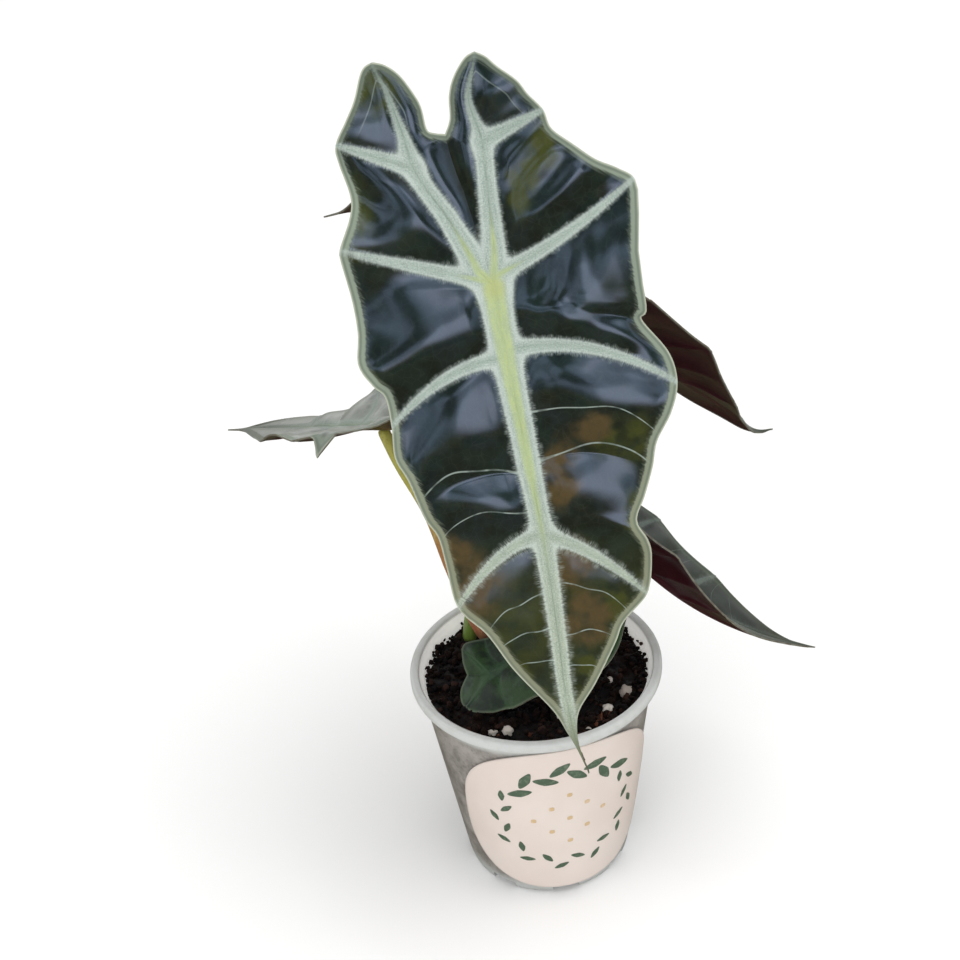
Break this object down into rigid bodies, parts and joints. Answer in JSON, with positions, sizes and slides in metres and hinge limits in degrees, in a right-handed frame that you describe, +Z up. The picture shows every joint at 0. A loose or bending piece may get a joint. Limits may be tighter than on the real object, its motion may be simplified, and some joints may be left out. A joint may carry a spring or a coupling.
{
  "type": "potted alocasia polly",
  "caption": "Young aroid house plant with dark, glossy, arrow-shaped leaves, pale veins and waved edges, growing from soil in a small clear plastic cup with a rounded label.",
  "frame": {"origin": "centre of the pot's flat underside, in the plane that it rests on", "axes": "+Z up, +X to the right and -Y towards the viewer, as in the picture"},
  "size_m": [0.1396, 0.1094, 0.2015],
  "materials": {
    "clear_plastic": "frosted",
    "label": "satin",
    "soil": "rough",
    "corm": "rough",
    "petiole": "satin",
    "blade": "glossy",
    "young_blade": "satin"
  },
  "bodies": {
    "root": {"pot": "clear_plastic", "label": "label", "soil": "soil", "corm": "corm", "petiole_front": "petiole", "blade_front": "blade", "petiole_left": "petiole", "blade_left": "blade", "petiole_right_lower": "petiole", "blade_right_lower": "blade", "petiole_right_upper": "petiole", "blade_right_upper": "blade", "petiole_back": "petiole", "blade_back": "blade", "petiole_young": "petiole", "blade_young": "young_blade"}
  },
  "joints": []
}
